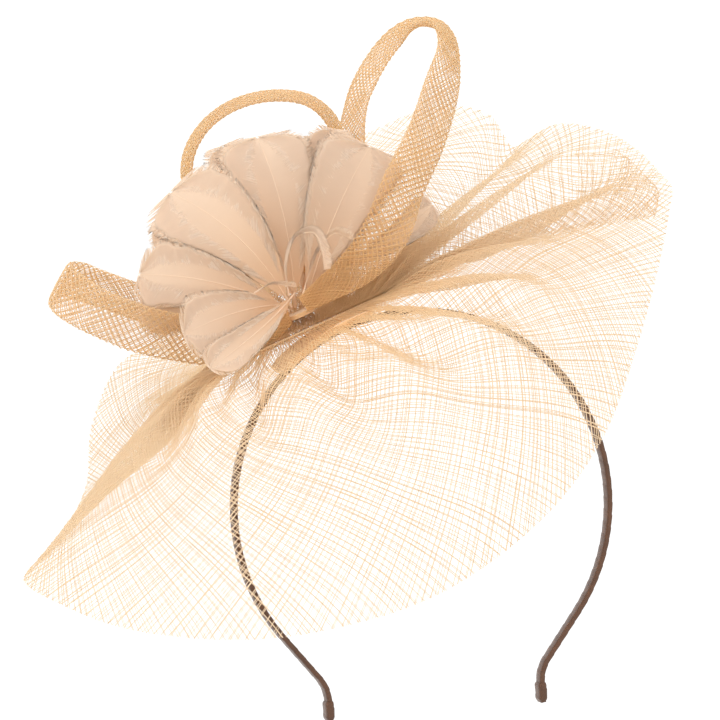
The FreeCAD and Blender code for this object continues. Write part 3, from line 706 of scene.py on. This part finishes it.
# Each loop's path: a place, and the way the flat of the tube faces there.
tall_loop = [((-43, -14, 72), (0, -1, 0.4)), ((-34, -14, 78), (0, -1, 0.3)),
             ((-24, -12, 85), (0, -1, 0.2)), ((-14, -9, 97), (0.2, -1, 0.1)),
             ((-7, -5, 115), (0.5, -0.9, 0)), ((1, -2, 132), (0.6, -0.8, 0)),
             ((7, 2, 151), (0.7, -0.7, 0)), ((9.5, 6, 163), (0.9, -0.45, 0.1)),
             ((7.5, 12, 171.5), (0.8, -0.35, 0.5)), ((0.5, 18, 175), (0.1, -0.3, 0.95)),
             ((-8, 22, 171.5), (-0.5, -0.4, 0.75)), ((-16, 22, 162.5), (-0.8, -0.45, 0.4)),
             ((-22.5, 20, 150), (-0.85, -0.5, 0)), ((-25.5, 16, 138), (-0.85, -0.55, 0)),
             ((-27, 8, 118), (-0.7, -0.7, 0)), ((-32, 0, 100), (-0.5, -0.85, 0.1)),
             ((-41, -8, 83), (-0.4, -0.9, 0.3))]
back_hoop = [((-52, 22, 86), (-0.3, -0.3, -1)), ((-68, 23, 93), (-0.6, -0.3, -0.8)),
             ((-83, 25, 108), (-1, -0.35, -0.4)), ((-86, 26, 124), (-1, -0.35, 0)),
             ((-81, 27, 136), (-0.8, -0.35, 0.6)), ((-70, 27, 145), (-0.4, -0.35, 0.9)),
             ((-55, 27, 149), (0, -0.35, 1)), ((-41, 28, 147), (0.3, -0.35, 0.9)),
             ((-32, 30, 138), (0.8, -0.35, 0.5)), ((-30, 30, 120), (1, -0.3, 0)),
             ((-35, 28, 101), (0.9, -0.2, -0.4)), ((-43, 26, 88), (0.8, -0.2, -0.6))]
side_loop = [((-48, -10, 68), (0.1, -1, -0.2)), ((-62, -14, 62), (0.05, -1, -0.25)),
             ((-77, -18, 59), (0.1, -1, -0.3)), ((-86, -21, 60), (0.1, -1, -0.3)),
             ((-100, -25, 63), (0.1, -1, -0.3)), ((-113, -27, 68), (-0.1, -1, -0.3)),
             ((-120, -27, 71.5), (-0.3, -0.9, -0.1)), ((-126, -24, 75.5), (-0.6, -0.7, 0.2)),
             ((-129.5, -19, 79.5), (-0.87, 0, 0.49)), ((-126, -13, 81), (-0.3, 0.6, 0.7)),
             ((-119.5, -9, 79), (0, 0.7, 0.7)), ((-108, -6, 75), (0.05, 0.7, 0.7)),
             ((-99.5, -4, 72), (0.05, 0.7, 0.7)), ((-87, -2, 69), (0.05, 0.7, 0.7))]


def tube_surface(stations, width, thickness, pinch):
    """A pressed tube's wall: rows go round its section, columns run along its path. Its ends
    are drawn in over a share of the path where they are caught."""
    joined = np.hstack([facing([place for place, _ in stations]) * mm,
                        unit(facing([normal for _, normal in stations]))])
    path = resampled(smooth_line(joined), tube_places)
    centre, normal = path[:, :3], path[:, 3:]
    heading = unit(np.gradient(centre, axis=0))
    sideways = unit(np.cross(heading, normal))
    upright = np.cross(sideways, heading)
    share = np.linspace(0, 1, tube_places)
    from_start = np.clip(share / pinch[0], 0, 1)
    from_end = np.clip((1 - share) / pinch[1], 0, 1)
    breadth = 0.35 + 0.65 * np.sin(np.minimum(from_start, from_end) * math.pi / 2)
    around = np.linspace(0, 2 * math.pi, 361)
    flat = np.sign(np.cos(around)) * np.abs(np.cos(around)) ** 0.75 * width / 2
    deep = np.sign(np.sin(around)) * np.abs(np.sin(around)) ** 0.6 * thickness / 2
    section = resampled(np.stack([flat, deep], 1), section_places)[:, None, None]
    return (centre[None] + sideways[None] * section[..., 0] * breadth[None, :, None]
            + upright[None] * section[..., 1])


for node, stations, share, pinch in (("tall_loop", tall_loop, 1.0, (0.2, 0.12)),
                                     ("back_hoop", back_hoop, 0.7, (0.1, 0.1)),
                                     ("side_loop", side_loop, 1.0, (0.15, 0.1))):
    both = bmesh.new()
    for inset, seed in ((0.0, 31), (tube_inset, 57)):
        wall = tube_surface(stations, tube_width * share - inset, tube_gauge - inset * 2, pinch)
        girth = run_length(wall[:, tube_places // 2])
        run = run_length(wall.mean(0))
        threads = round(girth / (tube_thread_spacing * math.sqrt(2)))
        ply = grown(weave, cloth_surface(f"{node}_wall", wall), f"{node}_ply",
                    Thread_Count=threads, Places=round(run * math.sqrt(2) / tube_bend_spacing),
                    Slant=run / girth, Thread_Radius=0.175 * mm, Jitter=0.12, Wander=0.003,
                    Lift=0.0, Ply_Share=0.08 * mm, Rim_Closing=0.02,
                    Left_Seed=seed, Right_Seed=seed + 3, Close_Ends=True, Thread=sinamay)
        both.from_mesh(ply.data)
        bpy.data.objects.remove(ply)
    cloth = bpy.data.meshes.new(f"{node}_cloth")
    both.to_mesh(cloth)
    both.free()
    piece = add_piece(f"{node}_cloth", cloth, sinamay)
    settle(piece, node)

# ------------------------------------------------------------------ feathers
# Stripped and dyed goose feathers in a nude shade: a fine quill with soft barbs that lie side
# by side and fray at the tip. The quills are bound on the felt disc.
# For each: root, tip, sideways bow, width, the way it faces, cup of the vane, curl of the tip.
feathers = [
    ("feather_back_top", (-44, -4, 72), (-43, 8, 135), 2, 26, (0.1, -1, 0.2), 2, 6),
    ("feather_back_left", (-46, -5, 71), (-73, 4, 131), 4, 22, (-0.1, -1, 0.3), 2, 6),
    ("feather_back_right", (-42, -6, 72), (-31, 4, 137), -3, 20, (0.2, -1, 0.2), 2, 6),
    ("feather_top_centre", (-46, -8, 71), (-60, -1, 134), 3, 36, (0, -1, 0.2), 2, 7),
    ("feather_right", (-42, -9, 72), (-18, -3, 130), -3, 36, (0.2, -1, 0.2), 2, 6),
    ("feather_left", (-47, -13, 71), (-90, -17, 113), 4, 37, (-0.1, -1, 0.3), 2, 7),
    ("feather_outer_left", (-48, -8, 70), (-96, -6, 104), -2, 20, (-0.2, -1, 0.2), 2, 6),
    ("feather_low_left", (-48, -14, 70), (-101, -22, 83), 3, 27, (-0.1, -1, 0.1), 2, 7),
    ("feather_under_left", (-49, -12, 69), (-101, -18, 69), 2, 20, (-0.1, -1, -0.1), 2, 6),
    ("feather_low_front", (-48, -17, 72), (-83, -42, 62), 2, 25, (-0.2, -1, 0), 2, 4),
    ("feather_drooping", (-46, -20, 76), (-74, -49, 51), -2, 15, (-0.1, -1, 0), 2, 4),
    ("feather_far_right", (-30, 2, 84), (5, 18, 110), 2, 14, (0.3, -1, 0.2), 1, 4),
]
curled = [
    ("feather_curl_large", [(-48, -21, 75), (-49, -25, 86), (-45, -28, 96), (-39, -30, 97),
                            (-36, -31, 91), (-35, -31, 84)], 12),
    ("feather_curl_right", [(-43, -19, 76), (-38, -23, 90), (-32, -25, 97), (-25, -26, 95)], 10),
    ("feather_curl_small", [(-60, -27, 76), (-54, -29, 79), (-45, -30, 78)], 7),
]


def vane_half_width(share):
    """Half the vane's width along its length, 1 at its widest, from a bare quill."""
    spread_out = np.maximum(0, share - 0.08) ** 0.7 * 1.16
    blunt = np.maximum(0, 1 - np.maximum(0, (share - 0.82) / 0.2) ** 3)
    return np.maximum(0.03, spread_out * np.sqrt(blunt))


def vane_surface(spine, sideways, front, half, cup):
    """The sheet that a feather's barbs lie on: rows across from edge to edge, columns along."""
    across = np.linspace(-1, 1, 21)[:, None, None]
    share = np.linspace(0, 1, len(spine))[None, :, None]
    return (spine[None] + sideways[None] * (half[None, :, None] * across)
            + front[None] * (cup * share * across ** 2
                             * np.minimum(1, half[None, :, None] / (4 * mm))))


def vane_film(name, surface, gauge):
    """Barbs hooked together into one thin smooth film just behind the loose ones."""
    normals = unit(np.cross(np.gradient(surface, axis=0), np.gradient(surface, axis=1)))
    skins = np.vstack([surface - normals * gauge, (surface - normals * gauge * 2)[::-1]])
    rows, columns = surface.shape[:2]
    mesh = grid_mesh(name, skins, close_along=True)
    outward(mesh)
    place = np.arange(2 * rows * columns)
    row = np.minimum(place // columns, 2 * rows - 1 - place // columns)
    lay_map(mesh, row / (rows - 1), place % columns / (columns - 1))
    return mesh


def barb_tree():
    """Barbs of a feather: flat fibres from the quill out to both edges, swept to the tip."""
    tree, bench, wanted = growing_tree("feather_barbs", "Barb", (
        ("Barb Count", "Int", 110), ("Places", "Int", 8), ("Sweep", "Float", 0.35),
        ("Barb Width", "Float", 0.0009), ("Barb Gauge", "Float", 0.0001),
        ("Fray", "Float", 0.2), ("Split", "Float", 0.05), ("Start", "Float", 0.0),
        ("Seed", "Int", 1)))
    count, seed = wanted["Barb Count"], wanted["Seed"]
    circle = bench.out(bench.node("GeometryNodeCurvePrimitiveCircle", {}, {
        "Resolution": 4, "Radius": 0.5}))
    flat_size = bench.vector(X=wanted["Barb Gauge"], Y=wanted["Barb Width"], Z=1.0)
    section = bench.out(bench.node("GeometryNodeTransform", {}, {
        "Geometry": circle, "Scale": flat_size}))
    sides = []
    for side in (1.0, -1.0):
        lines, barb, share = loose_lines(bench, count, wanted["Places"])
        shake = chance(bench, -0.5, 0.5, barb, seed + 10.0 * side)
        worn = chance(bench, 0.0, 1.0, barb, seed + 20.0 + side)
        root = 0.04 + (barb + 0.5 + shake * 0.8) / count * 0.955
        spot = bench.vector(X=root * 14.0, Y=side * 5.0, Z=seed * 3.7)
        clump = bench.noise(spot, 1.0, 3.0, 0.6) - 0.5
        tipward = bench.maths("POWER", root, 3.0)
        share = 1.0 - (1.0 - share) * (1.0 - wanted["Start"] * (1.0 - tipward * tipward))
        reach = share * (1.0 - worn * worn * wanted["Fray"] * (0.25 + tipward))
        forward = wanted["Sweep"] * bench.maths("POWER", share, 1.25) * (1.0 - root)
        part = clump * wanted["Split"] * share * share
        place = bench.vector(X=kept_inside(bench, 0.5 + reach * 0.5 * side, 1e-4),
                             Y=kept_inside(bench, root + forward + part, 1e-4))
        ruffle = (bench.noise(spot, 4.0, 2.0) - 0.5) * share * share * (0.8 * mm)
        placed, normal = laid_on(bench, wanted["Geometry"], lines, place, ruffle)
        turned = bench.out(bench.node("GeometryNodeSetCurveNormal", {"mode": "FREE"}, {
            "Curve": placed, "Normal": normal}))
        taper = 1.0 - 0.6 * bench.maths("POWER", share, 6.0)
        sides.append(bench.out(bench.node("GeometryNodeCurveToMesh", {}, {
            "Curve": turned, "Profile Curve": section, "Scale": taper})))
    return finish_tree(tree, bench, sides, wanted["Barb"])


def quill_mesh(name, spine, front, radius):
    """The feather's shaft: a tapering round rod along its spine."""
    share = np.linspace(0, 1, len(spine))
    heading = unit(np.gradient(spine, axis=0))
    side = np.cross(heading, front)
    angle = np.arange(8) / 8 * 2 * math.pi
    size = radius * (1 - 0.85 * share)
    ring = (side[:, None] * np.cos(angle)[None, :, None]
            + front[:, None] * np.sin(angle)[None, :, None]) * size[:, None, None]
    return grid_mesh(name, spine[:, None] + ring, close_across=True)


def plume_material(name, colour_and_shade):
    """Dyed down: pale, a little see-through; its colour and painted shade come from a function.
    """
    material, bench, shader = new_material(name, Specular_IOR_Level=0.25, Sheen_Weight=0.2,
                                           Sheen_Roughness=0.5, Roughness=0.7)
    feed(bench, shader, **colour_and_shade(bench))
    let_light_through(bench, shader, linear(252, 238, 221), 0.6)
    return material


def loose_colour_and_shade(bench):
    """Pale strands, with painted shade deeper in the middle of the flower."""
    strand = bench.noise(bench.coords(), 500.0, 2.0)
    pale = bench.blend(strand, linear(248, 230, 210), linear(255, 246, 233))
    # Painted shade: the strands darken towards the middle, where the feathers' feet lie in
    # shade.
    return {"Base_Color": bench.blend(painted_shade_near_middle(bench, 48 * mm), pale, linear(232, 196, 156))}


def film_colour_and_shade(bench):
    """Fine streaks along the barbs, with painted shade deeper near the quill's root."""
    cloth = bench.node("ShaderNodeSeparateXYZ", {}, {
        "Vector": bench.out(bench.node("ShaderNodeUVMap", {"uv_map": "cloth"}))})
    across, along = bench.out(cloth, "X"), bench.out(cloth, "Y")
    edge = bench.maths("ABSOLUTE", across * 2.0 - 1.0)
    barb = along - bench.maths("POWER", edge, 1.25) * 0.35 * (1.0 - along)
    side = bench.maths("GREATER_THAN", across, 0.5) * 9.0
    coarse = bench.noise(bench.vector(X=barb * 26.0, Y=edge * 1.2, Z=side), 1.0, 3.0, 0.6)
    fine = bench.noise(bench.vector(X=barb * 190.0, Y=edge * 3.0, Z=side), 1.0, 2.0)
    pale = bench.blend(fine * 0.5 + coarse * 0.5, linear(212, 196, 179), linear(229, 215, 200))
    # Painted shade: the vane darkens towards the quill's root.
    painted_root_shade = bench.maths("POWER", 1.0 - along, 1.3)
    return {"Base_Color": bench.blend(painted_root_shade, pale, linear(212, 172, 132)),
            "Normal": bench.bump(0.3, 0.1 * mm, fine + coarse * 2.0)}


def plume_pieces(node, spine, sideways, front, width, cup, seed, fray, film_end, barb_start):
    """A feather's film up to a share of its length, its loose barbs and its quill."""
    half = vane_half_width(stations) * width / 2 * mm
    whole = cloth_surface(f"{node}_vane", vane_surface(spine, sideways, front, half, cup))
    loose = grown(barbs, whole, f"{node}_barbs",
                  Barb_Count=round(run_length(spine) / (0.2 * mm)), Seed=seed, Barb=down,
                  Barb_Width=0.26 * mm, Barb_Gauge=0.05 * mm, Fray=fray, Split=0.07,
                  Start=barb_start)
    closing = np.sqrt(np.maximum(0, 1 - (stations / film_end) ** 24))
    worn = np.random.default_rng(seed).standard_normal(len(stations))
    closing *= 1 + 0.05 * np.convolve(worn, (0.25, 0.5, 0.25), "same")
    short = round(len(spine) * film_end)
    inner = vane_surface(spine, sideways, front, half * 0.88 * closing, cup)[:, :short]
    film = add_piece(f"{node}_film", vane_film(f"{node}_film", inner, 0.08 * mm), plume)
    shaft = add_piece(f"{node}_quill", quill_mesh(node, spine, front, 0.32 * mm), down)
    for made in (loose, film, shaft):
        settle(made, node)


down = plume_material("nude_down", loose_colour_and_shade)
plume = plume_material("nude_plume", film_colour_and_shade)
barbs = barb_tree()
stations = np.linspace(0, 1, 64)
curl_seeds = 41
for number, (node, root, tip, bow, width, face, cup, curl) in enumerate(feathers):
    start, end = facing([root, tip]) * mm
    looks = unit(facing([face]))[0]
    sideways = unit(np.cross(end - start, looks))
    front = unit(np.cross(sideways, end - start))
    arch = 4 * stations * (1 - stations)
    spine = (start + (end - start) * stations[:, None] + sideways * (bow * mm * arch)[:, None]
             + front * (curl * mm * (arch * 0.6 - stations ** 3))[:, None])
    every = (len(stations), 1)
    plume_pieces(node, spine, np.tile(sideways, every), np.tile(front, every), width, cup * mm,
                 number + 1, fray=0.4, film_end=0.985, barb_start=0.55)
for number, (node, places, width) in enumerate(curled):
    spine = resampled(smooth_line(facing(places) * mm), len(stations))
    heading = unit(np.gradient(spine, axis=0))
    level = unit(facing([(0.3, -1, 0.2)]))
    sideways = unit(level - heading * (heading * level).sum(1, keepdims=True))
    plume_pieces(node, spine, sideways, np.cross(sideways, heading), width, 1.5 * mm,
                 curl_seeds + number, fray=0.8, film_end=0.6, barb_start=0.1)

# ------------------------------------------------------------------ light, floor and camera
# A white room: an even sky, two large soft lamps, a pale floor well below the piece, and a
# long lens square to the show side.
scene = bpy.context.scene
world = bpy.data.worlds.new("white_room")
scene.world = world
world.use_nodes = True
sky = next(item for item in world.node_tree.nodes if item.type == "BACKGROUND")
sky.inputs["Color"].default_value = (1, 1, 1, 1)
sky.inputs["Strength"].default_value = 1.15
scene.view_settings.view_transform = "Standard"

floor_reach = 6.0
floor_height = band_low.z - 0.9
floor_mesh = bpy.data.meshes.new("floor")
floor_mesh.from_pydata([(floor_reach * x, floor_reach * y, floor_height)
                        for x, y in ((-1, -1), (1, -1), (1, 1), (-1, 1))], [], [(0, 1, 2, 3)])
pale, bench, shader = new_material("pale_floor", Roughness=0.9)
feed(bench, shader, Base_Color=bench.blend(
    bench.noise(bench.coords(), 3.0), (0.93, 0.93, 0.93, 1), (0.96, 0.96, 0.96, 1)))
floor = add_piece("floor", floor_mesh, pale)

view_point = Vector(facing([(-22.7, 0, 52.2)])[0] * mm)
away = Vector(facing([(0, 1, 0)])[0])
across = Vector(facing([(1, 0, 0)])[0])
lens_distance = 1.6
frame_width = 259.2 * mm
sensor_width = 36


def lamp(name, place, size, power):
    light = bpy.data.lights.new(name, "AREA")
    light.size = size
    light.energy = power
    made = bpy.data.objects.new(name, light)
    scene.collection.objects.link(made)
    made.location = place
    made.rotation_euler = (view_point - place).to_track_quat("-Z", "Y").to_euler()


lamp("key_lamp", view_point - away * 0.9 - across * 0.7 + Vector((0, 0, 0.9)), 0.9, 11.0)
lamp("fill_lamp", view_point - away * 1.0 + across * 0.9 + Vector((0, 0, 0.3)), 1.0, 4.0)

camera_data = bpy.data.cameras.new("camera")
camera_data.sensor_width = sensor_width
camera_data.lens = sensor_width * lens_distance / frame_width
camera = bpy.data.objects.new("camera", camera_data)
scene.collection.objects.link(camera)
camera.location = view_point - away * lens_distance
camera.rotation_euler = away.to_track_quat("-Z", "Y").to_euler()
scene.camera = camera
